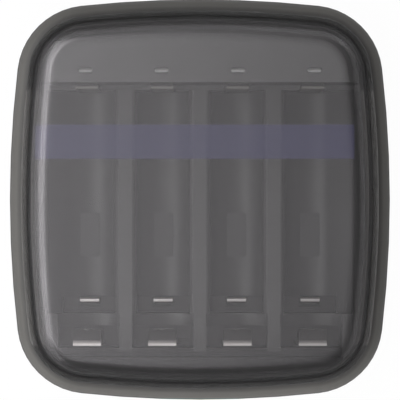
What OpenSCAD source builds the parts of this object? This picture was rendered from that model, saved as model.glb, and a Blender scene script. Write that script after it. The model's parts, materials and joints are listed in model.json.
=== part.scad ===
// Four-bay desk charger for AA and AAA cells, with a lift-off see-through cover.
// +X runs across the bays, +Y towards the status lights, +Z up.
// The origin is on the table, under the middle of the case. All sizes are in millimetres.

/* [Case] */
// Width across the widest line of the base
case_width = 79.2; // [74:0.2:92]
// Length along the cells at the widest line of the base
case_length = 83.4; // [78:0.2:96]
// Radius of the corners at the widest line
corner_radius = 15; // [13.5:0.5:20]
// Radius of the slow curve along every side
side_radius = 231; // [180:1:500]
// Height of the widest line
widest_height = 10.75; // [10.6:0.05:11.5]
// Height of the base's rim
rim_height = 15; // [14.5:0.25:16]
// How far the base draws in from the widest line to the rim
rim_inset = 2.85; // [2:0.05:3]
// How far the flat underside stands in from the widest line
bottom_inset = 5; // [4:0.25:6]
// Thickness of the base's floor
base_floor = 1.8; // [1.4:0.1:2.2]
// Width of the rim's flat top
rim_land = 0.75; // [0.6:0.05:0.9]

/* [Cover] */
// Height of the cover's flat top above the table
cover_top = 31; // [31:0.25:36]
// Thickness of the cover
cover_wall = 2; // [1.6:0.1:2]
// How far the cover's flat top stands in from the widest line
plateau_inset = 9.25; // [8:0.25:10]
// Gap all round between the cover and the base
cover_gap = 0.3; // [0.2:0.05:0.5]
// Depth of the lip that drops inside the rim
lip_depth = 1.8; // [1:0.1:2]

/* [Bays] */
// Width of the case left over beside the four bays
side_room = 18; // [17:0.1:20]
// Width of a bay between its dividers
channel_width = 12.6; // [12.2:0.1:13]
// Height of the dividers above the table
divider_top = 15.4; // [15:0.1:16]
// Diameter of the larger cell
aa_diameter = 14.5; // [13.5:0.1:14.5]
// Radius of the trough for the smaller cell
trough_radius = 5.7; // [5.5:0.05:5.9]
// Height of the trough's floor
trough_floor = 8.8; // [8.7:0.05:9.2]
// Thickness of the deck under a trough
deck_wall = 1.3; // [1.1:0.05:1.4]
// Width of the raised pad in a trough
pad_width = 4; // [3:0.1:5]
// Length of the raised pad
pad_length = 9.1; // [6:0.1:12]
// Height of the pad above the trough's floor
pad_height = 0.6; // [0.4:0.05:0.8]

/* [Contacts] */
// Distance from the back of the case to the positive plates
light_room = 19.2; // [19:0.1:20]
// Distance from the front of the case to the AA contacts
end_room = 15.2; // [15:0.1:15.8]
// How far the AAA contacts stand in front of the AA contacts
cell_step = 6.2; // [6:0.1:6.6]
// Width of an AA leaf
aa_leaf_width = 5.7; // [4.5:0.1:6.2]
// Width of an AAA leaf
aaa_leaf_width = 4; // [3:0.1:4.2]
// Width of a positive plate
plate_width = 4.5; // [3.5:0.1:5]
// Thickness of the contact strip
strip_thickness = 0.4; // [0.3:0.05:0.5]

/* [Lights] */
// Height of the light block
block_top = 27.4; // [26.5:0.1:28]
// Distance from the positive plates to the light block's face
block_step = 1; // [0.9:0.1:1.3]
// Distance of the light slots from the light block's face
slot_step = 2.4; // [2.3:0.05:2.9]
// Length of a light slot
slot_length = 2.9; // [2:0.1:3.6]
// Width of a light slot
slot_width = 1; // [0.8:0.05:1.4]

/* [Feet and screws] */
// Diameter of a rubber foot
foot_diameter = 8; // [6:0.25:9]
// How far the feet stand out of the base
foot_height = 0.8; // [0.6:0.05:1]
// Diameter of a case screw's shank
screw_diameter = 2; // [1.8:0.05:2.2]
// Diameter of a case screw's head
screw_head = 4; // [3.6:0.1:4.4]

/* [Output] */
// Sub-part to draw

/* [Hidden] */
$fn = 64;
slack = 0.05;

// Case outline
half_x = case_width / 2;
half_y = case_length / 2;

// Places along the bays
bay_pitch = (case_width - side_room) / 4;
plate_front = half_y - light_room;
aa_belly_face = end_room - half_y;
aaa_belly_face = aa_belly_face + cell_step;
block_front = plate_front + block_step;
slot_row = block_front + slot_step;

// Corners and sides
side_centre = [half_x - side_radius, 0];
end_centre = [0, half_y - side_radius];
centre_step = end_centre - side_centre;
corner_reach = sqrt(pow(side_radius - corner_radius, 2) - pow(norm(centre_step) / 2, 2));
corner_centre = (side_centre + end_centre) / 2
    + corner_reach * [-centre_step[1], centre_step[0]] / norm(centre_step);
side_angle = atan2(corner_centre[1], corner_centre[0] - side_centre[0]);
end_angle = 90 - atan2(corner_centre[1] - end_centre[1], corner_centre[0]);
side_steps = 6;
corner_steps = 10;

// Base
base_bottom = foot_height;
floor_top = base_bottom + base_floor;
rim_rise = rim_height - widest_height;
rim_arc_share = 1.2;
rim_arc_end = asin(1 / rim_arc_share);
rim_arc_reach = rim_inset / (1 - cos(rim_arc_end));
wall_inset = rim_inset + rim_land;
floor_inset = bottom_inset + 1;
floor_curve = 1;
curve_steps = 6;

// Cover
cover_bottom = rim_height + cover_gap;
cover_rise = cover_top - cover_bottom;
dome_reach = plateau_inset - rim_inset;
inner_edge = rim_inset + cover_wall;
inner_plateau = plateau_inset + 0.6 * cover_wall;
inner_top = cover_top - cover_wall;
inner_rise = inner_top - cover_bottom;
inner_reach = inner_plateau - inner_edge;
lip_outer = wall_inset + cover_gap;
lip_bottom = cover_bottom - lip_depth - cover_gap;
dome_steps = 9;

// Board
deck_bottom = trough_floor - deck_wall;
board_clearance = 0.5;
board_thickness = 1.6;
board_top = deck_bottom - board_clearance;
board_bottom = board_top - board_thickness;
board_side_margin = 12.1;
board_front_margin = 7.2;
board_back_margin = 8.2;
board_half_width = half_x - board_side_margin;
board_front = board_front_margin - half_y;
board_back = half_y - board_back_margin;
board_tongue_half = 9;
board_tongue_back = half_y - 4;
board_corner = 2;
post_diameter = 4;
pin_diameter = 1.8;
pin_hole = 2;
post_side_margin = 14.4;
post_back_margin = 10.7;
post_front_margin = 9.4;
post_side = half_x - post_side_margin;
post_back = half_y - post_back_margin;
post_front = post_front_margin - half_y;
post_places = [[-post_side, post_back], [post_side, post_back],
    [-bay_pitch, post_front], [bay_pitch, post_front]];

// Deck
deck_inset = inner_edge + 0.4;
upper_inset = deck_inset + 0.75;
flange_gap = 0.2;
flange_inset = wall_inset + flange_gap;
flange_top = lip_bottom - cover_gap;
trough_axis = trough_floor + trough_radius;
channel_half = channel_width / 2;
bevel = channel_half - trough_radius;
cell_axis = divider_top + sqrt(pow(aa_diameter / 2, 2) - pow(channel_half, 2));
saddle_radius = aa_diameter / 2 + 0.1;
flank_reach = channel_half + 2.25;
flank_start = trough_radius * sin(45);
pocket_half = 1.5 * bay_pitch + flank_reach;
pocket_margin = 9.3;
pocket_end = pocket_margin - half_y;
ledge_width = 1.1;
ledge_top = divider_top - 1;
rail_top = divider_top + 2.1;
rail_front = pocket_end + ledge_width;
rail_back = plate_front - 0.1;
block_clearance = 0.6;
block_wall = 1.6;
hollow_inset = upper_inset + 2;
aaa_well_back = aaa_belly_face - 3.3;
aaa_well_front = aaa_belly_face + 0.2;
aaa_well_floor = deck_bottom + 0.7;
saddle_back = aaa_well_back - 2.5;
well_floor = deck_bottom + 2;
well_half = trough_radius - 0.2;
slot_margin = 0.3;
pad_step = 3.9;
pad_back = (plate_front + aaa_belly_face) / 2 - pad_step;
root_margin = 0.6;
root_half = aa_leaf_width / 2 + root_margin;
root_back = 0.6;
pocket_back = 0.8;

// Contacts
contact_foot = board_top + 0.2;
plate_top = cell_axis + 3.4;
aa_root_step = 3.4;
aa_root = aa_belly_face - aa_root_step;
aa_knee_rise = 2.6;
aa_knee_height = deck_bottom + aa_knee_rise;
aa_belly_drop = 0.8;
aa_belly_height = cell_axis - aa_belly_drop;
aa_belly_flat = 1.6;
aa_crest_step = 2.5;
aa_crest = aa_belly_face - aa_crest_step;
aa_crest_rise = 2.6;
aa_crest_height = cell_axis + aa_crest_rise;
aa_bend = 0.55;
aa_bend_drop = 0.25;
aa_fold = 0.3;
aa_fold_drop = 1;
dimple_diameter = 2.2;
dimple_height = 0.05;
aaa_root_step = 1.3;
aaa_root = aaa_belly_face - aaa_root_step;
aaa_belly_rise = 1.1;
aaa_belly_height = trough_floor + aaa_belly_rise;
aaa_clearance = 0.45;
aaa_crest_height = cell_axis - aa_diameter / 2 - aaa_clearance;
aaa_bend = 0.3;
aaa_bend_drop = 0.35;
aaa_fold = 0.3;
aaa_fold_drop = 0.6;

// Lights
pipe_recess = 0.3;
pipe_slack = 0.1;
pipe_bevel = 0.6;
slot_frame = 0.25;
slot_frame_depth = 0.2;
collar = 0.5;
collar_height = 1.4;
led_length = 2;
led_width = 1.25;
led_height = 0.8;
pipe_bottom = board_top + led_height + 0.3;
pipe_top = block_top - pipe_recess;

// Power inlet
inlet_width = 8.94;
inlet_height = 3.2;
inlet_wall = 0.3;
inlet_depth = 7.5;
inlet_mouth = half_y - 0.5;
inlet_axis = board_top + inlet_height / 2;
inlet_margin = 0.35;
tongue_width = 6.7;
tongue_height = 0.7;
tongue_back_wall = 1.2;
tongue_short = 1;

// Board parts
chip_size = [9.9, 3.9, 1.5];
chip_lead = [0.42, 1.05, 0.25];
chip_pitch = 1.27;
chip_leads = 8;
transistor_size = [2.9, 1.3, 1.05];
resistor_size = [3.2, 1.6, 0.6];
inductor_size = [6, 6, 3];
inductor_winding = 4.6;
capacitor_diameter = 6.3;
capacitor_height = 7.7;
capacitor_base = [6.6, 6.6, 1];
capacitor_margin = 0.3;
inductor_margin = 1.2;
transistor_step = 5.5;
resistor_step = 10.1;
controller_step = 14.5;
capacitor_row = block_front + block_wall + capacitor_base[1] / 2 + capacitor_margin;
inductor_row = block_front + block_wall + inductor_size[1] / 2 + inductor_margin;
transistor_row = plate_front - transistor_step;
resistor_row = aa_belly_face + resistor_step;
controller_row = plate_front - controller_step;

// Screws and feet
screw_side_margin = 8.6;
screw_back_step = 8.5;
screw_front_step = 8.1;
screw_side = half_x - screw_side_margin;
screw_back = plate_front - screw_back_step;
screw_front = aa_belly_face + screw_front_step;
screw_places = [[-screw_side, screw_back], [screw_side, screw_back],
    [-screw_side, screw_front], [screw_side, screw_front]];
boss_diameter = 6;
screw_clearance = 0.2;
screw_seat = base_bottom + 2.2;
screw_head_height = 1.4;
screw_length = 8.5;
screw_fit = 0.02;
pilot_top = screw_seat + screw_length + 0.5;
drive_width = 0.6;
drive_length = 2.4;
drive_depth = 0.7;
foot_side_margin = 15.6;
foot_end_margin = 14.7;
foot_side = half_x - foot_side_margin;
foot_end = half_y - foot_end_margin;
foot_places = [[-foot_side, foot_end], [foot_side, foot_end],
    [-foot_side, -foot_end], [foot_side, -foot_end]];
foot_sunk = 0.8;
foot_slack = 0.1;

// Middle of a bay, counted from 1 on the left
function bay_x(bay) = (bay - 2.5) * bay_pitch;

// Points along an arc, without its last point
function arc_points(centre, radius, from, to, steps) =
    [for (i = [0 : steps - 1])
        let (a = from + (to - from) * i / steps)
        centre + radius * [cos(a), sin(a)]];

// The case's outline, drawn in by an even distance
function outline(inset) =
    let (
        rs = side_radius - inset,
        rc = corner_radius - inset,
        s = side_angle,
        e = end_angle,
        c = corner_centre
    )
    concat(
        arc_points(side_centre, rs, -s, s, side_steps),
        arc_points(c, rc, s, 90 - e, corner_steps),
        arc_points(end_centre, rs, 90 - e, 90 + e, side_steps),
        arc_points([-c[0], c[1]], rc, 90 + e, 180 - s, corner_steps),
        arc_points(-side_centre, rs, 180 - s, 180 + s, side_steps),
        arc_points(-c, rc, 180 + s, 270 - e, corner_steps),
        arc_points(-end_centre, rs, 270 - e, 270 + e, side_steps),
        arc_points([c[0], -c[1]], rc, 270 + e, 360 - s, corner_steps)
    );

// Inset of the cover's inside at a height
function dome_inset(z) =
    inner_plateau - inner_reach * sqrt(max(0, 1 - pow((z - cover_bottom) / inner_rise, 2)));

// One side of a bent strip, at a distance from its middle line
function strip_side(path, d) =
    [for (i = [0 : len(path) - 1])
        let (
            before = path[max(i, 1)] - path[max(i, 1) - 1],
            after = path[min(i + 1, len(path) - 1)] - path[min(i, len(path) - 2)],
            n1 = [-before[1], before[0]] / norm(before),
            n2 = [-after[1], after[0]] / norm(after),
            m = (n1 + n2) / norm(n1 + n2)
        )
        path[i] + m * d / (m * n1)];

function reversed(list) = [for (i = [len(list) - 1 : -1 : 0]) list[i]];

// A closed skin through rings of [inset, height], flat at both ends
module loft(rings) {
    count = len(outline(0));
    last = (len(rings) - 1) * count;
    points = [for (r = rings) for (p = outline(r[0])) [p[0], p[1], r[1]]];
    sides = [for (k = [0 : len(rings) - 2]) for (i = [0 : count - 1])
        let (a = k * count + i, b = k * count + (i + 1) % count) each
        [[a, a + count, b], [a + count, b + count, b]]];
    caps = [[for (i = [0 : count - 1]) i], [for (i = [count - 1 : -1 : 0]) last + i]];
    polyhedron(points = points, faces = concat(caps, sides));
}

// A profile in Y and Z, drawn out across X
module across(width) {
    rotate([90, 0, 90])
        linear_extrude(width, center = true)
            children();
}

// A profile in X and Z, drawn out along Y
module along(from, to) {
    translate([0, to, 0])
        rotate([90, 0, 0])
            linear_extrude(to - from)
                children();
}

// A box between two corners
module block(low, high) {
    translate(low)
        cube(high - low);
}

// A bar with round ends, lying along X
module slot_shape(length, width) {
    span = length - width;
    square([span, width], center = true);
    for (s = [-1, 1])
        translate([s * span / 2, 0])
            circle(d = width);
}

// A strip bent along a path in Y and Z
module strip(path, width) {
    half = strip_thickness / 2;
    across(width)
        polygon(concat(strip_side(path, half), reversed(strip_side(path, -half))));
}

module base_shape() {
    lower = [for (i = [0 : curve_steps])
        let (a = 90 * i / curve_steps)
        [bottom_inset * (1 - sin(a)), widest_height - (widest_height - base_bottom) * cos(a)]];
    upper = [for (i = [1 : curve_steps])
        let (a = rim_arc_end * i / curve_steps)
        [rim_arc_reach * (1 - cos(a)), widest_height + rim_rise * rim_arc_share * sin(a)]];
    inside = [
        [wall_inset, rim_height],
        [wall_inset, floor_top + 3 * floor_curve],
        [(wall_inset + floor_inset) / 2, floor_top + floor_curve],
        [floor_inset, floor_top]
    ];
    loft(concat(lower, upper, inside));
}

module base_shell() {
    color([0.16, 0.16, 0.16])
    difference() {
        union() {
            base_shape();
            for (p = screw_places)
                translate([p[0], p[1], floor_top - slack])
                    cylinder(d = boss_diameter, h = deck_bottom - floor_top + slack);
            for (p = post_places)
                translate([p[0], p[1], floor_top - slack]) {
                    cylinder(d = post_diameter, h = board_bottom - floor_top + slack);
                    cylinder(d = pin_diameter, h = board_top - floor_top + slack + 0.2);
                }
        }
        for (p = screw_places)
            translate([p[0], p[1], 0]) {
                cylinder(d = screw_diameter + 2 * screw_clearance, h = deck_bottom + 1);
                cylinder(d = screw_head + 2 * screw_clearance, h = screw_seat);
            }
        for (p = foot_places)
            translate([p[0], p[1], 0])
                cylinder(d = foot_diameter + 2 * foot_slack, h = base_bottom + foot_sunk);
        translate([0, half_y - 2 * wall_inset, inlet_axis])
            rotate([-90, 0, 0])
                linear_extrude(3 * wall_inset)
                    slot_shape(inlet_width + 2 * inlet_margin, inlet_height + 2 * inlet_margin);
    }
}

module cover() {
    inside = [for (i = [dome_steps : -1 : 0])
        let (a = 90 * i / dome_steps)
        [inner_plateau - inner_reach * cos(a), cover_bottom + inner_rise * sin(a)]];
    lip = [
        [inner_edge, lip_bottom],
        [lip_outer, lip_bottom],
        [lip_outer, cover_bottom]
    ];
    outside = [for (i = [0 : dome_steps])
        let (a = 90 * i / dome_steps)
        [plateau_inset - dome_reach * cos(a), cover_bottom + cover_rise * sin(a)]];
    color([0.3, 0.3, 0.31, 0.45])
        loft(concat(inside, lip, outside));
}

// Room for a cell of either size, in X and Z
module channel_profile() {
    translate([0, trough_axis])
        circle(r = trough_radius);
    polygon([
        [-trough_radius, trough_axis],
        [trough_radius, trough_axis],
        [trough_radius, divider_top - bevel],
        [channel_half, divider_top],
        [channel_half, divider_top + 1],
        [-channel_half, divider_top + 1],
        [-channel_half, divider_top],
        [-trough_radius, divider_top - bevel]
    ]);
}

module bay_cuts() {
    deep = deck_bottom - 1;
    high = divider_top + 1;
    along(aaa_well_back, plate_front)
        channel_profile();
    along(saddle_back - slack, aaa_well_back + slack)
        translate([0, cell_axis])
            circle(r = saddle_radius);
    block([-well_half, aaa_well_back, aaa_well_floor], [well_half, aaa_well_front, trough_axis]);
    block([-aaa_leaf_width / 2 - slot_margin, aaa_root - 0.9, deep],
        [aaa_leaf_width / 2 + slot_margin, aaa_well_front, trough_axis]);
    block([-channel_half, pocket_end, ledge_top], [channel_half, saddle_back, high]);
    block([-channel_half, aa_root - pocket_back, well_floor], [channel_half, saddle_back, high]);
    block([-root_half, aa_root - root_back, deep], [root_half, aa_root + 0.8, high]);
    block([-plate_width / 2 - slot_margin, plate_front - slot_margin, deep],
        [plate_width / 2 + slot_margin, plate_front + strip_thickness, high]);
}

// Room above the sloping outer side of an end bay, up to the rail
module flank_cut(side) {
    along(aaa_well_back, plate_front)
        polygon([
            [0, trough_axis],
            [side * flank_start, trough_axis - flank_start],
            [side * flank_reach, trough_axis - 2 * flank_start + flank_reach],
            [side * flank_reach, divider_top + 1],
            [0, divider_top + 1]
        ]);
}

// The light block's skin, drawn in by a wall
module light_block_form(wall) {
    top = block_top - wall;
    low = wall > 0 ? deck_bottom - 1 : divider_top - slack;
    edge = wall > 0 ? hollow_inset : upper_inset;
    steps = 6;
    rise = top - cover_bottom;
    rings = [for (i = [1 : steps])
        let (z = cover_bottom + rise * sin(90 * i / steps))
        [max(edge, dome_inset(min(z + wall, block_top)) + block_clearance + wall), z]];
    intersection() {
        loft(concat([[edge, low], [edge, cover_bottom + 0.1]], rings));
        block([-half_x, block_front + wall, 0], [half_x, half_y, cover_top]);
    }
}

module bay_deck() {
    color([0.2, 0.2, 0.2])
    difference() {
        union() {
            translate([0, 0, deck_bottom])
                linear_extrude(flange_top - deck_bottom)
                    polygon(outline(flange_inset));
            translate([0, 0, flange_top - slack])
                linear_extrude(divider_top - flange_top + slack)
                    polygon(outline(deck_inset));
            intersection() {
                translate([0, 0, divider_top - slack])
                    linear_extrude(rail_top - divider_top + slack)
                        polygon(outline(upper_inset));
                union() {
                    for (s = [-1, 1])
                        block([s > 0 ? pocket_half : -half_x, pocket_end - slack, 0],
                            [s > 0 ? half_x : -pocket_half, rail_back, rail_top + 1]);
                    block([-half_x, -half_y, 0], [half_x, pocket_end, rail_top + 1]);
                }
            }
            light_block_form(0);
            for (bay = [1 : 4])
                translate([bay_x(bay), 0, 0])
                    block([-plate_width / 2, plate_front + strip_thickness, divider_top - slack],
                        [plate_width / 2, block_front + slack, plate_top - 0.3]);
        }
        for (bay = [1 : 4])
            translate([bay_x(bay), 0, 0])
                difference() {
                    bay_cuts();
                    block([-pad_width / 2, pad_back - pad_length, deck_bottom],
                        [pad_width / 2, pad_back, trough_floor + pad_height]);
                }
        for (side = [-1, 1])
            translate([side * bay_x(4), 0, 0])
                flank_cut(side);
        light_block_form(block_wall);
        for (bay = [1 : 4])
            translate([bay_x(bay), slot_row, 0]) {
                translate([0, 0, block_top - 2 * block_wall])
                    linear_extrude(3 * block_wall)
                        slot_shape(slot_length, slot_width);
                translate([0, 0, block_top - slot_frame_depth])
                    linear_extrude(1)
                        slot_shape(slot_length + 2 * slot_frame, slot_width + 2 * slot_frame);
            }
        block([bay_x(1) - channel_half, pocket_end, ledge_top],
            [bay_x(4) + channel_half, rail_front, divider_top + 1]);
        for (p = screw_places)
            translate([p[0], p[1], deck_bottom - 1])
                cylinder(d = screw_diameter + 2 * screw_fit, h = pilot_top - deck_bottom + 1);
        block([-inlet_width / 2 - 0.6, slot_row, deck_bottom - 1],
            [inlet_width / 2 + 0.6, half_y, inlet_axis + inlet_height / 2 + 0.6]);
    }
}

module circuit_board() {
    color([0.1, 0.32, 0.16])
    difference() {
        translate([0, 0, board_bottom])
            linear_extrude(board_thickness)
                difference() {
                    union() {
                        translate([-board_half_width, board_front])
                            square([2 * board_half_width, board_back - board_front]);
                        translate([-board_tongue_half, board_back - 1])
                            square([2 * board_tongue_half, board_tongue_back - board_back + 1]);
                    }
                    for (s = [-1, 1])
                        translate([s * board_half_width, board_front])
                            rotate(45)
                                square(board_corner * sqrt(2), center = true);
                }
        for (p = post_places)
            translate([p[0], p[1], board_bottom - 1])
                cylinder(d = pin_hole, h = board_thickness + 2);
    }
}

module positive_contact(bay) {
    color([0.78, 0.75, 0.73])
        translate([bay_x(bay), 0, 0])
            block([-plate_width / 2, plate_front, board_top],
                [plate_width / 2, plate_front + strip_thickness, plate_top]);
}

module aa_contact(bay) {
    face = aa_belly_face - strip_thickness / 2;
    crest = aa_crest - strip_thickness / 2;
    crest_z = aa_crest_height - strip_thickness / 2;
    path = [
        [aa_root, contact_foot],
        [aa_root, aa_knee_height],
        [face, aa_belly_height - aa_belly_flat / 2],
        [face, aa_belly_height + aa_belly_flat / 2],
        [crest + aa_bend, crest_z - aa_bend_drop],
        [crest, crest_z],
        [crest - aa_fold, crest_z],
        [crest - aa_fold, crest_z - aa_fold_drop]
    ];
    color([0.8, 0.76, 0.74])
        translate([bay_x(bay), 0, 0]) {
            strip(path, aa_leaf_width);
            translate([0, face, aa_belly_height])
                rotate([-90, 0, 0])
                    cylinder(d = dimple_diameter, h = strip_thickness / 2 + dimple_height);
        }
}

module aaa_contact(bay) {
    face = aaa_belly_face - strip_thickness / 2;
    crest = face - aaa_bend;
    crest_z = aaa_crest_height - strip_thickness / 2;
    path = [
        [aaa_root, contact_foot],
        [aaa_root, deck_bottom + 0.6],
        [face, aaa_belly_height],
        [face, crest_z - aaa_bend_drop],
        [crest, crest_z],
        [crest - aaa_fold, crest_z],
        [crest - aaa_fold, crest_z - aaa_fold_drop]
    ];
    color([0.8, 0.76, 0.74])
        translate([bay_x(bay), 0, 0])
            strip(path, aaa_leaf_width);
}

module light_pipe(bay) {
    color([0.9, 0.92, 0.9, 0.8])
        translate([bay_x(bay), slot_row, 0]) {
            difference() {
                translate([0, 0, pipe_bottom])
                    linear_extrude(pipe_top - pipe_bottom)
                        slot_shape(slot_length - 2 * pipe_slack, slot_width - 2 * pipe_slack);
                across(slot_length)
                    polygon([[0, pipe_top], [slot_width, pipe_top + 1], [slot_width, pipe_top - pipe_bevel],
                        [slot_width / 2, pipe_top - pipe_bevel]]);
            }
            translate([0, 0, block_top - block_wall - collar_height])
                linear_extrude(collar_height)
                    square([slot_length + 2 * collar, slot_width + 2 * collar - 0.4], center = true);
        }
}

module status_light(bay) {
    color([0.95, 0.95, 0.85])
        translate([bay_x(bay) - led_length / 2, slot_row - led_width / 2, board_top])
            cube([led_length, led_width, led_height]);
}

module inlet_shell() {
    color([0.75, 0.75, 0.76])
        translate([0, inlet_mouth, inlet_axis])
            rotate([90, 0, 0])
                difference() {
                    linear_extrude(inlet_depth)
                        slot_shape(inlet_width, inlet_height);
                    translate([0, 0, -1])
                        linear_extrude(inlet_depth + 2)
                            slot_shape(inlet_width - 2 * inlet_wall, inlet_height - 2 * inlet_wall);
                }
}

module inlet_tongue() {
    color([0.08, 0.08, 0.08])
        translate([0, inlet_mouth - inlet_depth, inlet_axis])
            rotate([-90, 0, 0]) {
                linear_extrude(tongue_back_wall)
                    slot_shape(inlet_width - 2 * inlet_wall, inlet_height - 2 * inlet_wall);
                linear_extrude(inlet_depth - tongue_short)
                    square([tongue_width, tongue_height], center = true);
            }
}

module charge_controller() {
    row = (chip_leads - 1) * chip_pitch / 2;
    color([0.1, 0.1, 0.1])
        translate([0, controller_row, board_bottom - chip_size[2] / 2]) {
            cube(chip_size, center = true);
            for (s = [-1, 1])
                for (i = [0 : chip_leads - 1])
                    translate([i * chip_pitch - row, s * (chip_size[1] + chip_lead[1]) / 2 - s * slack,
                        chip_size[2] / 2 - chip_lead[2] / 2])
                        cube(chip_lead, center = true);
        }
}

module charge_transistors() {
    color([0.12, 0.12, 0.12])
        for (bay = [1 : 4])
            translate([bay_x(bay), transistor_row, board_bottom - transistor_size[2] / 2])
                cube(transistor_size, center = true);
}

module sense_resistors() {
    color([0.2, 0.2, 0.22])
        for (bay = [1 : 4])
            translate([bay_x(bay), resistor_row, board_bottom - resistor_size[2] / 2])
                cube(resistor_size, center = true);
}

module inductor() {
    color([0.25, 0.25, 0.26])
        translate([-bay_pitch, inductor_row, board_top]) {
            translate([-inductor_size[0] / 2, -inductor_size[1] / 2, 0])
                cube([inductor_size[0], inductor_size[1], inductor_size[2] - 0.5]);
            cylinder(d = inductor_winding, h = inductor_size[2]);
        }
}

module capacitor(x) {
    color([0.7, 0.7, 0.72])
        translate([x, capacitor_row, board_top]) {
            translate([-capacitor_base[0] / 2, -capacitor_base[1] / 2, 0])
                cube(capacitor_base);
            cylinder(d = capacitor_diameter, h = capacitor_height);
        }
}

module case_screws() {
    color([0.6, 0.6, 0.62])
        for (p = screw_places)
            translate([p[0], p[1], screw_seat - screw_head_height])
                difference() {
                    union() {
                        cylinder(d = screw_head, h = screw_head_height);
                        cylinder(d = screw_diameter, h = screw_head_height + screw_length);
                    }
                    for (a = [0, 90])
                        rotate(a)
                            translate([-drive_length / 2, -drive_width / 2, -1])
                                cube([drive_length, drive_width, drive_depth + 1]);
                }
}

module rubber_feet() {
    color([0.12, 0.12, 0.12])
        for (p = foot_places)
            translate([p[0], p[1], 0])
                cylinder(d = foot_diameter, h = base_bottom + foot_sunk);
}

base_shell();
bay_deck();
cover();
circuit_board();
positive_contact(1);  // positive_contact_1
positive_contact(2);  // positive_contact_2
positive_contact(3);  // positive_contact_3
positive_contact(4);  // positive_contact_4
aa_contact(1);  // aa_contact_1
aa_contact(2);  // aa_contact_2
aa_contact(3);  // aa_contact_3
aa_contact(4);  // aa_contact_4
aaa_contact(1);  // aaa_contact_1
aaa_contact(2);  // aaa_contact_2
aaa_contact(3);  // aaa_contact_3
aaa_contact(4);  // aaa_contact_4
light_pipe(1);  // light_pipe_1
light_pipe(2);  // light_pipe_2
light_pipe(3);  // light_pipe_3
light_pipe(4);  // light_pipe_4
status_light(1);  // status_light_1
status_light(2);  // status_light_2
status_light(3);  // status_light_3
status_light(4);  // status_light_4
inlet_shell();
inlet_tongue();
charge_controller();
charge_transistors();
sense_resistors();
inductor();
capacitor(0);  // input_capacitor
capacitor(bay_pitch);  // output_capacitor
case_screws();
rubber_feet();
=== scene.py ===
"""Looks of a four-bay desk charger for AA and AAA cells with a lift-off smoked cover."""

import json
import math
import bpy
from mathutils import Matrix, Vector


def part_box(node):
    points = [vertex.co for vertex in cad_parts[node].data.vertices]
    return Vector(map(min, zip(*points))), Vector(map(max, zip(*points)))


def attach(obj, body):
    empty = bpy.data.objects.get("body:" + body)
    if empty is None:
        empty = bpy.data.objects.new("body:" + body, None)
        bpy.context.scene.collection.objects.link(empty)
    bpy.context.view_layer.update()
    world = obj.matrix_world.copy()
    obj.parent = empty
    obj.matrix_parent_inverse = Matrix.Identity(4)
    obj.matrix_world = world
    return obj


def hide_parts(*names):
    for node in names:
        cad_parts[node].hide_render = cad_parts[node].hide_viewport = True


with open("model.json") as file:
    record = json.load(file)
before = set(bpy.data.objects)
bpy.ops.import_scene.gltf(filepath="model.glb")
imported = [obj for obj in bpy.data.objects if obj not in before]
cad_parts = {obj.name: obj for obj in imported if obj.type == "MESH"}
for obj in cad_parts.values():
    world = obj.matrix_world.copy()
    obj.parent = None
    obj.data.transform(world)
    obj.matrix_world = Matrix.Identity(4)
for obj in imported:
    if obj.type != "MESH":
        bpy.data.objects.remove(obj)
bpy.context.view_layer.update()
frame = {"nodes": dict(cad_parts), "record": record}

import bmesh
import bpy
from bpy.props import FloatProperty, FloatVectorProperty, IntProperty, PointerProperty
from bpy.types import Operator, Panel, PropertyGroup
from mathutils import Vector

bl_info = {
    "name": "Cell charger",
    "version": (1, 0, 0),
    "blender": (4, 5, 0),
    "location": "View3D > Sidebar > Charger",
    "description": "Dresses a four-bay cell charger with a smoked cover",
    "category": "Object",
}

MM = 0.001
BAYS = (1, 2, 3, 4)
Y_AXIS, Z_AXIS = 1, 2
TURN = 0.15 * MM
WELD = 0.002 * MM
SHARP = math.radians(32.0)
WHITE = (1.0, 1.0, 1.0, 1.0)
CASE_LOW, CASE_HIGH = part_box("base_shell")
COVER_LOW, COVER_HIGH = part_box("cover")


def length(name, description, default):
    """A size in metres with its name and default, given in millimetres."""
    return FloatProperty(name=name, description=description, default=default * MM, min=0.0, unit="LENGTH", precision=5)


def colour(name, description, default):
    """A plain colour."""
    return FloatVectorProperty(
        name=name, description=description, default=default, size=3, min=0.0, max=1.0, subtype="COLOR"
    )


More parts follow.
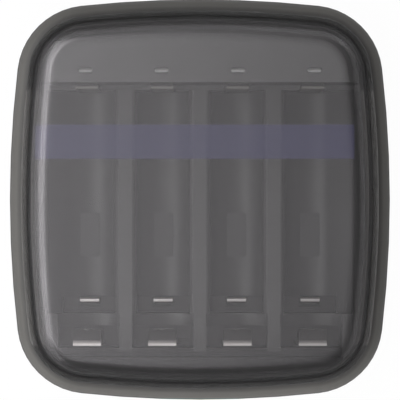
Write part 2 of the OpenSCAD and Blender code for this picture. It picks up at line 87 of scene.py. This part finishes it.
class ChargerSizes(PropertyGroup):
    """Sizes of the smooth shells, which follow the frame's own outline, and the lines between shades."""

    corner_radius: length("Corner radius", "Corner radius at the widest line of the base", 15.0)
    side_radius: length("Side radius", "Radius of the slow curve along each side", 231.0)
    rim_height: length("Rim height", "Height of the base's rim", 15.0)
    rim_inset: length("Rim inset", "How far the base draws in up to its rim", 2.85)
    rim_land: length("Rim land", "Width of the rim's flat top", 0.75)
    cover_wall: length("Cover wall", "Thickness of the cover", 2.0)
    cover_gap: length("Cover gap", "Gap between the cover and the base", 0.3)
    plateau_inset: length("Plateau inset", "How far the cover's flat top stands in", 9.25)
    edge_round: length("Edge rounding", "Rounding on moulded edges", 0.15)
    strip_round: length("Strip rounding", "Rounding on the bends and edges of the contact strip", 0.09)
    band_low: length("Band front", "Front edge of the tinted band on the cover, from the middle", 8.1)
    band_high: length("Band back", "Back edge of the tinted band on the cover, from the middle", 14.9)
    band_left: length("Band left", "How far the tinted band runs to the left", 33.3)
    band_right: length("Band right", "How far the tinted band runs to the right", 30.7)
    shade_line: length("Shade line", "Height at which the base turns from its darker lower half", 12.3)
    # Painted shade: above this height the base is painted darker towards the cover, in place of the shade at the
    # cover's foot.
    lip_shade_line: length("Lip line", "Height at which the base turns darker towards the cover", 14.5)
    divider_line: length("Divider line", "Height above which the deck is the dividers' paler top", 15.2)
    rail_line: length("Rail line", "Height above which the deck is the duller side rails", 15.7)
    # The next four lines place painted shade and painted dark reflection on the spring leaves: their slopes are
    # painted darker and only a band on each crest keeps the full plating.
    aa_dark_line: length("AA lip line", "Distance to the front at which the AA leaves start to be rubbed", 28.65)
    aa_lit_line: length("AA rub line", "Distance to the front past which the AA leaves are rubbed bright", 29.2)
    aaa_lit_height: length("AAA rub line", "Height above which the AAA leaves are rubbed bright", 10.7)
    aaa_dim_line: length("AAA edge line", "Distance to the front past which the AAA leaves are less rubbed", 21.1)
    ledge_back: length("Ledge back", "Distance to the back at which the ledge beside the bays ends", 22.1)
    ledge_front: length("Ledge front", "Distance to the front at which the ledge beside the bays ends", 29.5)
    ledge_top: length("Ledge top", "Height up to which that ledge shows through the cover's foot", 27.0)
    block_line: length("Block line", "Height above which the deck is the light block's paler top", 26.0)
    up: IntProperty(name="Steps up", description="Steps up each curve of the shells", default=24, min=6)
    around: IntProperty(name="Points around", description="Points along each corner of the shells", default=24, min=6)


class ChargerColours(PropertyGroup):
    """Colours of the finishes."""

    case: colour("Case", "Satin moulding of the base", (0.102, 0.0985, 0.094))
    case_low: colour("Case underside", "Lower half of the base", (0.025, 0.0245, 0.024))
    # Painted shade on the rim's inner edge next to the cover, not a colour of the moulding.
    painted_lip_shade: colour("Case lip", "Inner edge of the rim, next to the cover", (0.055, 0.0535, 0.0525))
    deck: colour("Deck", "Finely textured moulding of the deck", (0.072, 0.0706, 0.0715))
    divider: colour("Divider", "Tops of the dividers", (0.128, 0.1255, 0.127))
    rail: colour("Rail", "Side rails and the walls at both ends", (0.045, 0.0441, 0.0447))
    ledge: colour("Ledge", "What shows of the deck's ledge through the cover's foot", (0.125, 0.12, 0.117))
    block: colour("Light block", "Coarser top of the light block", (0.175, 0.1715, 0.1735))
    smoke: colour("Cover", "Smoked plastic of the cover", (0.02, 0.0195, 0.02))
    gloss: colour("Cover gloss", "Faint tint of what the cover reflects", (0.995, 0.96, 1.0))
    band: colour("Band", "Tinted band on the cover", (0.04, 0.039, 0.079))
    strip: colour("Contact strip", "Nickel-plated spring strip", (0.98, 0.925, 0.905))
    plate: colour("Positive plate", "Dull plating of the positive plates", (0.36, 0.35, 0.32))
    pipe: colour("Light pipe", "Milky light guide", (0.8, 0.8, 0.79))
    chip: colour("Light chip", "Status lights under the light pipes", (0.8, 0.8, 0.7))
    board: colour("Board", "Solder resist", (0.012, 0.022, 0.016))
    steel: colour("Steel", "Inlet shell and screws", (0.62, 0.62, 0.63))
    can: colour("Can", "Aluminium cans of the capacitors", (0.72, 0.72, 0.74))
    ferrite: colour("Ferrite", "Inductor", (0.1, 0.1, 0.105))
    black: colour("Black", "Chips and the inlet's tongue", (0.02, 0.02, 0.021))
    rubber: colour("Rubber", "Feet", (0.03, 0.03, 0.03))
    floor: colour("Floor", "Studio floor", (0.86, 0.86, 0.86))


class Value:
    """A socket whose arithmetic adds Math nodes to its tree."""

    def __init__(self, finish, socket):
        self.finish = finish
        self.socket = socket

    def out(self, name):
        """Another output of the same node."""
        return Value(self.finish, self.socket.node.outputs[name])

    def _math(self, operation, first, second):
        return self.finish.node("ShaderNodeMath", {"operation": operation}, {0: first, 1: second})

    def __add__(self, other):
        return self._math("ADD", self, other)

    def __radd__(self, other):
        return self._math("ADD", other, self)

    def __sub__(self, other):
        return self._math("SUBTRACT", self, other)

    def __rsub__(self, other):
        return self._math("SUBTRACT", other, self)

    def __mul__(self, other):
        return self._math("MULTIPLY", self, other)

    def __rmul__(self, other):
        return self._math("MULTIPLY", other, self)

    def __pow__(self, other):
        return self._math("POWER", self, other)

    def __gt__(self, other):
        return self._math("GREATER_THAN", self, other)

    def __lt__(self, other):
        return self._math("LESS_THAN", self, other)


class Finish:
    """A node tree of a material or the world, built one node at a time."""

    def __init__(self, owner):
        self.owner = owner
        owner.use_nodes = True
        self.tree = owner.node_tree
        self.tree.nodes.clear()

    def node(self, kind, settings=None, inputs=None, output=0):
        """Adds a node: its settings first, then the values or links of its sockets."""
        made = self.tree.nodes.new(kind)
        for name, setting in (settings or {}).items():
            setattr(made, name, setting)
        for name, value in (inputs or {}).items():
            if isinstance(value, Value):
                self.tree.links.new(value.socket, made.inputs[name])
            else:
                made.inputs[name].default_value = value
        return Value(self, made.outputs[output]) if made.outputs else None

    def mix(self, share, first, second):
        """A mix of two colours."""
        inputs = {0: share, 6: rgba(first), 7: rgba(second)}
        return self.node("ShaderNodeMix", {"data_type": "RGBA"}, inputs, output=2)

    def rise(self, value, start, end):
        """0 up to one place, 1 from another, and even in between."""
        return self.node("ShaderNodeMapRange", inputs={0: value, 1: start, 2: end})

    def place(self):
        """Places on the piece, in metres in the object's own frame."""
        return self.node("ShaderNodeTexCoord", output="Object")

    def axes(self, place):
        """The X, Y and Z of a place."""
        x = self.node("ShaderNodeSeparateXYZ", inputs={0: place})
        return x, x.out("Y"), x.out("Z")

    def ray(self, kind):
        """1 for one kind of ray, 0 for the others."""
        return self.node("ShaderNodeLightPath", output=f"Is {kind} Ray")

    def noise(self, scale, detail=2.0, rough=0.5, place=None):
        """Smooth noise, from 0 to 1."""
        inputs = {"Vector": place or self.place(), "Scale": scale, "Detail": detail, "Roughness": rough}
        return self.node("ShaderNodeTexNoise", inputs=inputs)

    def stretched(self, scale):
        """Places stretched along the axes, for brushed and drawn surfaces."""
        return self.node("ShaderNodeMapping", inputs={"Vector": self.place(), "Scale": scale})

    def bump(self, height, depth):
        """A normal roughened by a height."""
        return self.node("ShaderNodeBump", inputs={"Height": height, "Distance": depth})

    def shader(self, **inputs):
        """A Principled shader, with socket names written with underscores."""
        named = {name.replace("_", " "): value for name, value in inputs.items()}
        return self.node("ShaderNodeBsdfPrincipled", inputs=named)

    def surface(self, shader, kind="ShaderNodeOutputMaterial"):
        """Ends the tree in a shader."""
        self.node(kind, inputs={"Surface": shader})
        return self.owner


def rgba(value):
    """A colour with full alpha, or a socket as it is."""
    return value if isinstance(value, Value) else (*value[:3], 1.0)


def scaled(shade, factor):
    """A colour made darker or paler."""
    return [c * factor for c in shade]


def moulded(name, shade, grain, depth, rough, speckle, shine=0.5, levels=()):
    """Moulded plastic with a fine eroded texture, faint mottling and a soft sheen; each level is a height above which
    it turns to another shade, with the reach of that turn."""
    finish = Finish(bpy.data.materials.new(name))
    fine = finish.noise(grain, 3.0, 0.6)
    mottle = finish.noise(grain * 0.05, 2.0)
    share = fine * 0.8 + mottle * 0.4 - 0.1

    def speckled(tone):
        return finish.mix(share, scaled(tone, 1.0 - speckle), scaled(tone, 1.0 + speckle))

    skin = speckled(shade)
    for line, reach, above in levels:
        _, _, height = finish.axes(finish.place())
        skin = finish.mix(finish.rise(height, line - reach, line + reach), skin, speckled(above))
    return finish.surface(finish.shader(
        Base_Color=skin,
        Roughness=rough + (fine - 0.5) * 0.12,
        Specular_IOR_Level=shine,
        Normal=finish.bump(fine, depth),
    ))


def smoked(name, sizes, colours, shine, face_on, edge_on, blend, band_on=0.0):
    """Smoked see-through plastic, as dense as it says where seen face on and edge on, and denser where its tinted band
    is; at a glance it turns into its dark body, with a hint of the ledge behind its foot beside the bays."""
    finish = Finish(bpy.data.materials.new(name))
    across, along, height = finish.axes(finish.place())
    band = (along > sizes.band_low) * (along < sizes.band_high)
    band = band * (across > -sizes.band_left) * (across < sizes.band_right)
    tint = finish.mix(band, colours.smoke, colours.band)
    facing = finish.node("ShaderNodeLayerWeight", inputs={"Blend": blend}, output="Facing")
    glance = finish.node("ShaderNodeLayerWeight", inputs={"Blend": 0.5}, output="Facing") ** 4.0
    haze = finish.noise(260.0, 3.0)
    dense = face_on + facing * (edge_on - face_on)
    pane = finish.shader(
        Base_Color=tint,
        Roughness=0.28 + haze * 0.08,
        IOR=2.0,
        Specular_IOR_Level=shine,
        Specular_Tint=rgba(colours.gloss),
        Alpha=dense + (1.0 - dense) * band * band_on,
    )
    beside = (along < sizes.ledge_back) * (along > -sizes.ledge_front) * (height < sizes.ledge_top)
    inside = finish.mix(beside, tint, colours.ledge)
    body = finish.shader(Base_Color=inside, Roughness=0.4 + haze * 0.2, Specular_IOR_Level=0.03)
    return finish.surface(finish.node("ShaderNodeMixShader", inputs={0: glance, 1: pane, 2: body}))


def drawn_metal(name, shade, rough, across, painted_lit=()):
    """Plated strip with fine lines from rolling; painted shade and painted dark reflection darken parts of it, each
    given by an axis, the places on it where the full colour starts and ends, and how bright it is before that."""
    finish = Finish(bpy.data.materials.new(name))
    lines = finish.noise(1.0, 3.0, 0.6, finish.stretched(across))
    stain = finish.noise(700.0, 2.0)
    skin = finish.mix(lines * 0.5 + stain * 0.5, scaled(shade, 0.86), shade)
    # Painted shade: outside each band the strip is painted darker, standing in for the shade and dark reflections on
    # the leaves' slopes.
    for axis, start, end, before in painted_lit:
        bright = finish.rise(finish.axes(finish.place())[axis], start, end)
        skin = finish.mix(bright, scaled(shade, before), skin)
    return finish.surface(finish.shader(
        Base_Color=skin,
        Metallic=1.0,
        Roughness=rough + (lines - 0.5) * 0.012,
        Normal=finish.bump(lines, 0.00005 * MM),
    ))


def milky(name, shade):
    """Clear plastic with a frosted end that scatters light."""
    finish = Finish(bpy.data.materials.new(name))
    cloud = finish.noise(900.0, 2.0)
    return finish.surface(finish.shader(
        Base_Color=finish.mix(cloud, scaled(shade, 0.8), shade),
        Roughness=0.3 + cloud * 0.2,
        Normal=finish.bump(cloud, 0.01 * MM),
    ))


def solder_resist(name, shade):
    """Board with tracks that show faintly under the resist."""
    finish = Finish(bpy.data.materials.new(name))
    inputs = {"Vector": finish.place(), "Scale": 320.0}
    track = finish.node("ShaderNodeTexVoronoi", {"feature": "DISTANCE_TO_EDGE"}, inputs) > 0.12
    weave = finish.noise(1500.0, 2.0)
    pale = tuple(min(1.0, c * 1.9 + 0.01) for c in shade)
    return finish.surface(finish.shader(
        Base_Color=finish.mix(track * 0.6 + weave * 0.3, shade, pale),
        Roughness=0.32 + weave * 0.2,
        Normal=finish.bump(track * 0.5 + weave * 0.2, 0.02 * MM),
    ))


class Outline:
    """The case's outline: slow arcs along the sides and round corners, all tangent."""

    def __init__(self, sizes):
        half_x = (CASE_HIGH[0] - CASE_LOW[0]) / 2
        half_y = (CASE_HIGH[1] - CASE_LOW[1]) / 2
        self.corner, self.side = sizes.corner_radius, sizes.side_radius
        self.steps = sizes.around
        side = Vector((half_x - self.side, 0.0))
        end = Vector((0.0, half_y - self.side))
        step = end - side
        reach = math.sqrt((self.side - self.corner) ** 2 - (step.length / 2) ** 2)
        centre = (side + end) / 2 + reach * Vector((-step.y, step.x)) / step.length
        a = math.atan2(centre.y, centre.x - side.x)
        b = math.pi / 2 - math.atan2(centre.y - end.y, centre.x)
        quarter, half = math.pi / 2, math.pi
        self.arcs = [
            (side, self.side, -a, a),
            (centre, self.corner, a, quarter - b),
            (end, self.side, quarter - b, quarter + b),
            (Vector((-centre.x, centre.y)), self.corner, quarter + b, half - a),
            (-side, self.side, half - a, half + a),
            (-centre, self.corner, half + a, half + quarter - b),
            (-end, self.side, half + quarter - b, half + quarter + b),
            (Vector((centre.x, -centre.y)), self.corner, half + quarter + b, 2 * half - a),
        ]

    def ring(self, inset, height):
        """Points of the outline, drawn in by an inset."""
        points = []
        for centre, radius, start, stop in self.arcs:
            for i in range(self.steps):
                angle = start + (stop - start) * i / self.steps
                reach = radius - inset
                points.append((centre.x + reach * math.cos(angle), centre.y + reach * math.sin(angle), height))
        return points


def arc(steps):
    """Even steps of a quarter turn, as sine and cosine."""
    return [(math.sin(i * math.pi / 2 / steps), math.cos(i * math.pi / 2 / steps)) for i in range(steps + 1)]


def loft(name, outline, rings, inner=0):
    """A closed skin through rings of inset and height, flat at both ends; the first rings make its inside."""
    count = len(outline.ring(0.0, 0.0))
    points = [p for inset, height in rings for p in outline.ring(inset, height)]
    last = (len(rings) - 1) * count
    faces = [tuple(range(count - 1, -1, -1)), tuple(range(last, last + count))]
    for k in range(len(rings) - 1):
        for i in range(count):
            j = (i + 1) % count
            a, b = k * count, (k + 1) * count
            faces.append((a + i, a + j, b + j, b + i))
    mesh = bpy.data.meshes.new(name)
    mesh.from_pydata(points, [], faces)
    for face in (mesh.polygons[0], *mesh.polygons[2:2 + inner * count]):
        face.material_index = 1
    mesh.shade_smooth()
    made = bpy.data.objects.new(name, mesh)
    bpy.context.scene.collection.objects.link(made)
    return made


def wear(piece, *materials):
    """Gives a piece its material, and another one for its inside."""
    chosen = [face.material_index for face in piece.data.polygons]
    piece.data.materials.clear()
    for material in materials:
        piece.data.materials.append(material)
    if len(materials) > 1:
        piece.data.polygons.foreach_set("material_index", chosen)


def body_of(node):
    """The body that a CAD node rides on."""
    bodies = frame["record"]["behaviour"]["bodies"]
    return next(body for body, nodes in bodies.items() if node in nodes)


def refined(node, material, round_to):
    """A smooth-shaded copy of a CAD node with rounded edges, which stands for the node."""
    source = frame["nodes"][node]
    mesh = bpy.data.meshes.new(f"{node}_finish")
    work = bmesh.new()
    work.from_mesh(source.data)
    bmesh.ops.remove_doubles(work, verts=work.verts, dist=WELD)
    for face in work.faces:
        face.smooth = True
    for edge in work.edges:
        edge.smooth = len(edge.link_faces) == 2 and edge.calc_face_angle() < SHARP
    work.to_mesh(mesh)
    work.free()
    piece = bpy.data.objects.new(f"{node}_finish", mesh)
    bpy.context.scene.collection.objects.link(piece)
    bevel = piece.modifiers.new("Edges", "BEVEL")
    bevel.width = round_to
    bevel.segments = 2
    bevel.limit_method = "ANGLE"
    bevel.angle_limit = SHARP
    bevel.harden_normals = True
    wear(piece, material)
    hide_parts(node)
    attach(piece, body_of(node))


def dress(names, material):
    """Gives CAD nodes their material."""
    for name in names:
        wear(frame["nodes"][name], material)


def each_bay(name):
    """A node's name for every bay."""
    return [f"{name}_{bay}" for bay in BAYS]


class ChargerOperator(Operator):
    """Shared by the charger's operators."""

    bl_options = {"REGISTER", "UNDO"}

    @property
    def sizes(self):
        return bpy.context.scene.charger_sizes

    @property
    def colours(self):
        return bpy.context.scene.charger_colours


class CHARGER_OT_cover(ChargerOperator):
    """Make the smooth smoked cover"""

    bl_idname = "charger.cover"
    bl_label = "Smoked cover"

    def execute(self, context):
        s = self.sizes
        top, gap = COVER_HIGH.z, s.cover_gap
        edge, foot = s.rim_height + gap, COVER_LOW.z
        wall = s.cover_wall
        inner_flat, inner_edge = s.plateau_inset + 0.6 * wall, s.rim_inset + wall
        lip = s.rim_inset + s.rim_land + gap
        inside = [
            (inner_flat - (inner_flat - inner_edge) * cosine, edge + (top - wall - edge) * sine)
            for sine, cosine in reversed(arc(s.up))
        ]
        outside = [
            (s.plateau_inset - (s.plateau_inset - s.rim_inset) * cosine, edge + (top - edge) * sine)
            for sine, cosine in arc(s.up)
        ]
        crown = [(s.plateau_inset + step, top) for step in (1 * MM, 4 * MM)]
        floor = [(inner_flat + step, top - wall) for step in (4 * MM, 1 * MM)]
        rings = floor + inside + [(inner_edge, foot), (lip, foot), (lip, edge)] + outside + crown
        cover = loft("smooth_cover", Outline(s), rings, len(floor) + len(inside))
        c = self.colours
        skin = smoked("smoked_plastic", s, c, shine=0.5, face_on=0.44, edge_on=0.02, blend=0.72)
        lining = smoked("smoked_lining", s, c, shine=0.0, face_on=0.12, edge_on=1.0, blend=0.5, band_on=0.65)
        wear(cover, skin, lining)
        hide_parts("cover")
        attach(cover, "cover")
        return {"FINISHED"}


class CHARGER_OT_base(ChargerOperator):
    """Finish the base shell"""

    bl_idname = "charger.base"
    bl_label = "Base shell"

    def execute(self, context):
        c, s = self.colours, self.sizes
        # The last level is painted shade: the rim's inner edge is painted darker next to the cover.
        satin = moulded(
            "satin_moulding", c.case_low, grain=5200.0, depth=0.012 * MM, rough=0.45, speckle=0.12, shine=0.05,
            levels=((s.shade_line, 0.25 * MM, c.case), (s.lip_shade_line, 0.4 * MM, c.painted_lip_shade)),
        )
        refined("base_shell", satin, s.edge_round)
        return {"FINISHED"}


class CHARGER_OT_deck(ChargerOperator):
    """Finish the deck with its bays and light block"""

    bl_idname = "charger.deck"
    bl_label = "Bay deck"

    def execute(self, context):
        c, s = self.colours, self.sizes
        texture = moulded(
            "textured_moulding", c.deck, grain=3600.0, depth=0.008 * MM, rough=0.38, speckle=0.2, shine=0.38,
            levels=((s.divider_line, TURN, c.divider), (s.rail_line, TURN, c.rail), (s.block_line, TURN, c.block)),
        )
        dress(["bay_deck"], texture)
        return {"FINISHED"}


class CHARGER_OT_contacts(ChargerOperator):
    """Finish the spring leaves and the positive plates"""

    bl_idname = "charger.contacts"
    bl_label = "Contacts"

    def execute(self, context):
        c, s = self.colours, self.sizes
        # Painted shade and painted dark reflection: the leaves' slopes are painted darker, and the crests keep the
        # full plating.
        painted_lit = {
            "aa_contact": (
                (Y_AXIS, TURN - s.aa_lit_line, -TURN - s.aa_lit_line, 0.42),
                (Y_AXIS, TURN - s.aa_dark_line, -TURN - s.aa_dark_line, 0.16),
            ),
            "aaa_contact": (
                (Y_AXIS, -TURN - s.aaa_dim_line, TURN - s.aaa_dim_line, 0.3),
                (Z_AXIS, s.aaa_lit_height - TURN, s.aaa_lit_height + TURN, 0.16),
            ),
        }
        for leaf, places in painted_lit.items():
            strip = drawn_metal(f"{leaf}_strip", c.strip, rough=0.3, across=(4000.0, 300.0, 300.0), painted_lit=places)
            for name in each_bay(leaf):
                refined(name, strip, s.strip_round)
        plating = drawn_metal("dull_plate", c.plate, rough=0.5, across=(9000.0, 300.0, 300.0))
        dress(each_bay("positive_contact"), plating)
        return {"FINISHED"}


class CHARGER_OT_lights(ChargerOperator):
    """Finish the light pipes and the lights under them"""

    bl_idname = "charger.lights"
    bl_label = "Status lights"

    def execute(self, context):
        dress(each_bay("light_pipe"), milky("milky_guide", self.colours.pipe))
        dress(each_bay("status_light"), milky("light_chip", self.colours.chip))
        return {"FINISHED"}


class CHARGER_OT_inlet(ChargerOperator):
    """Finish the power inlet"""

    bl_idname = "charger.inlet"
    bl_label = "Power inlet"

    def execute(self, context):
        c = self.colours
        shell = drawn_metal("drawn_shell", c.steel, rough=0.3, across=(300.0, 9000.0, 300.0))
        tongue = moulded("inlet_black", c.black, grain=4000.0, depth=0.005 * MM, rough=0.45, speckle=0.15)
        dress(["inlet_shell"], shell)
        dress(["inlet_tongue"], tongue)
        return {"FINISHED"}


class CHARGER_OT_board(ChargerOperator):
    """Finish the board and what is on it"""

    bl_idname = "charger.board"
    bl_label = "Circuit board"

    def execute(self, context):
        c = self.colours
        chips = moulded("chip_black", c.black, grain=4000.0, depth=0.005 * MM, rough=0.5, speckle=0.15)
        core = moulded("ferrite", c.ferrite, grain=2500.0, depth=0.01 * MM, rough=0.6, speckle=0.2)
        cans = drawn_metal("drawn_can", c.can, rough=0.3, across=(300.0, 300.0, 9000.0))
        dress(["circuit_board"], solder_resist("solder_resist", c.board))
        dress(["charge_controller", "charge_transistors", "sense_resistors"], chips)
        dress(["inductor"], core)
        dress(["input_capacitor", "output_capacitor"], cans)
        return {"FINISHED"}


class CHARGER_OT_feet(ChargerOperator):
    """Finish the feet and the case screws"""

    bl_idname = "charger.feet"
    bl_label = "Feet and screws"

    def execute(self, context):
        c = self.colours
        rubber = moulded("foot_rubber", c.rubber, grain=2500.0, depth=0.03 * MM, rough=0.75, speckle=0.25)
        zinc = drawn_metal("zinc_plate", c.steel, rough=0.34, across=(800.0, 800.0, 6000.0))
        dress(["rubber_feet"], rubber)
        dress(["case_screws"], zinc)
        return {"FINISHED"}


class CHARGER_OT_stage(ChargerOperator):
    """Set up the floor, the light and the camera"""

    bl_idname = "charger.stage"
    bl_label = "Studio"

    def floor_finish(self):
        """Pale floor that stays white to the camera and keeps a soft shadow."""
        finish = Finish(bpy.data.materials.new("studio_floor"))
        dust = finish.noise(40.0, 3.0)
        pale = self.colours.floor
        matt = finish.shader(Base_Color=finish.mix(dust, scaled(pale, 0.985), pale), Roughness=0.9)
        white = finish.node("ShaderNodeEmission", inputs={"Color": WHITE, "Strength": 1.0})
        seen = finish.ray("Camera") + finish.ray("Transmission") + finish.ray("Glossy")
        return finish.surface(finish.node("ShaderNodeMixShader", inputs={0: seen * 0.97, 1: matt, 2: white}))

    def sky(self):
        """Soft room: dark low down, bright above and towards the window side."""
        world = bpy.data.worlds.new("studio_room")
        bpy.context.scene.world = world
        finish = Finish(world)
        x, y, z = finish.axes(finish.node("ShaderNodeTexCoord", output="Generated"))
        up = finish.rise(z, 0.1, 1.0)
        glow = 0.15 + up ** 1.5 * (0.35 - x * 0.4 - y * 0.12)
        light = finish.node("ShaderNodeBackground", inputs={"Color": glow, "Strength": 1.0})
        finish.surface(light, "ShaderNodeOutputWorld")

    def panel_light(self, name, place, size, power, aim, lights=True, shines=True):
        """A soft box that points at a place; it lights surfaces, shines back from glossy ones, or both."""
        lamp = bpy.data.lights.new(name, "AREA")
        lamp.shape = "RECTANGLE"
        lamp.size, lamp.size_y = size
        lamp.energy = power
        made = bpy.data.objects.new(name, lamp)
        made.location = place
        made.rotation_euler = (Vector(aim) - Vector(place)).to_track_quat("-Z", "Y").to_euler()
        made.visible_diffuse = lights
        made.visible_glossy = shines
        bpy.context.scene.collection.objects.link(made)

    def lay_floor(self, side):
        """A square floor just under the feet."""
        mesh = bpy.data.meshes.new("studio_floor")
        mesh.from_pydata([(-side, -side, 0), (side, -side, 0), (side, side, 0), (-side, side, 0)], [], [(0, 1, 2, 3)])
        floor = bpy.data.objects.new("studio_floor", mesh)
        floor.location.z = -0.05 * MM
        bpy.context.scene.collection.objects.link(floor)
        wear(floor, self.floor_finish())

    def hang_camera(self, height, shift):
        """A long lens that looks straight down."""
        camera = bpy.data.cameras.new("camera")
        camera.lens = 180.0
        camera.sensor_width = 36.0
        camera.shift_x, camera.shift_y = shift
        made = bpy.data.objects.new("camera", camera)
        made.location = (0.0, 0.0, height)
        bpy.context.scene.collection.objects.link(made)
        bpy.context.scene.camera = made

    def execute(self, context):
        context.scene.view_settings.view_transform = "Standard"
        self.lay_floor(side=3.0)
        self.sky()
        heart = (0.0, 0.0, 0.02)
        self.panel_light("ceiling", (-0.5, 0.0, 1.0), (1.0, 2.0), 14.0, (-0.5, 0.0, 0.0))
        self.panel_light("window", (-0.6, 0.16, 0.5), (1.1, 0.62), 14.0, heart, lights=False)
        self.panel_light("side_card", (-0.11, -0.01, 0.04), (0.3, 0.08), 0.26, (0.0, -0.01, 0.03), lights=False)
        self.panel_light("back_card", (0.0, 0.12, 0.055), (0.3, 0.05), 0.12, heart, lights=False)
        self.panel_light("right_card", (0.12, 0.01, 0.035), (0.3, 0.06), 0.075, heart, lights=False)
        self.panel_light("fill", (-0.2, -0.85, 0.4), (0.5, 0.4), 6.0, heart, shines=False)
        self.hang_camera(height=0.4276, shift=(0.0003, -0.0013))
        return {"FINISHED"}


class CHARGER_PT_panel(Panel):
    """Lists the charger's pieces and settings"""

    bl_label = "Charger"
    bl_idname = "CHARGER_PT_panel"
    bl_space_type = "VIEW_3D"
    bl_region_type = "UI"
    bl_category = "Charger"

    def draw(self, context):
        for operator in OPERATORS:
            self.layout.operator(operator.bl_idname)
        for group in (context.scene.charger_sizes, context.scene.charger_colours):
            for name in group.bl_rna.properties.keys():
                if name not in ("rna_type", "name"):
                    self.layout.prop(group, name)


OPERATORS = (
    CHARGER_OT_base,
    CHARGER_OT_deck,
    CHARGER_OT_contacts,
    CHARGER_OT_lights,
    CHARGER_OT_inlet,
    CHARGER_OT_board,
    CHARGER_OT_feet,
    CHARGER_OT_cover,
    CHARGER_OT_stage,
)
CLASSES = (ChargerSizes, ChargerColours, *OPERATORS, CHARGER_PT_panel)


def register():
    """Registers the classes and puts the settings on the scene."""
    for each in CLASSES:
        bpy.utils.register_class(each)
    bpy.types.Scene.charger_sizes = PointerProperty(type=ChargerSizes)
    bpy.types.Scene.charger_colours = PointerProperty(type=ChargerColours)


def unregister():
    """Takes the settings and classes away again."""
    del bpy.types.Scene.charger_colours
    del bpy.types.Scene.charger_sizes
    for each in reversed(CLASSES):
        bpy.utils.unregister_class(each)


def main():
    """Builds the whole dressed charger."""
    register()
    bpy.ops.charger.base()
    bpy.ops.charger.deck()
    bpy.ops.charger.contacts()
    bpy.ops.charger.lights()
    bpy.ops.charger.inlet()
    bpy.ops.charger.board()
    bpy.ops.charger.feet()
    bpy.ops.charger.cover()
    bpy.ops.charger.stage()


if __name__ == "__main__":
    main()
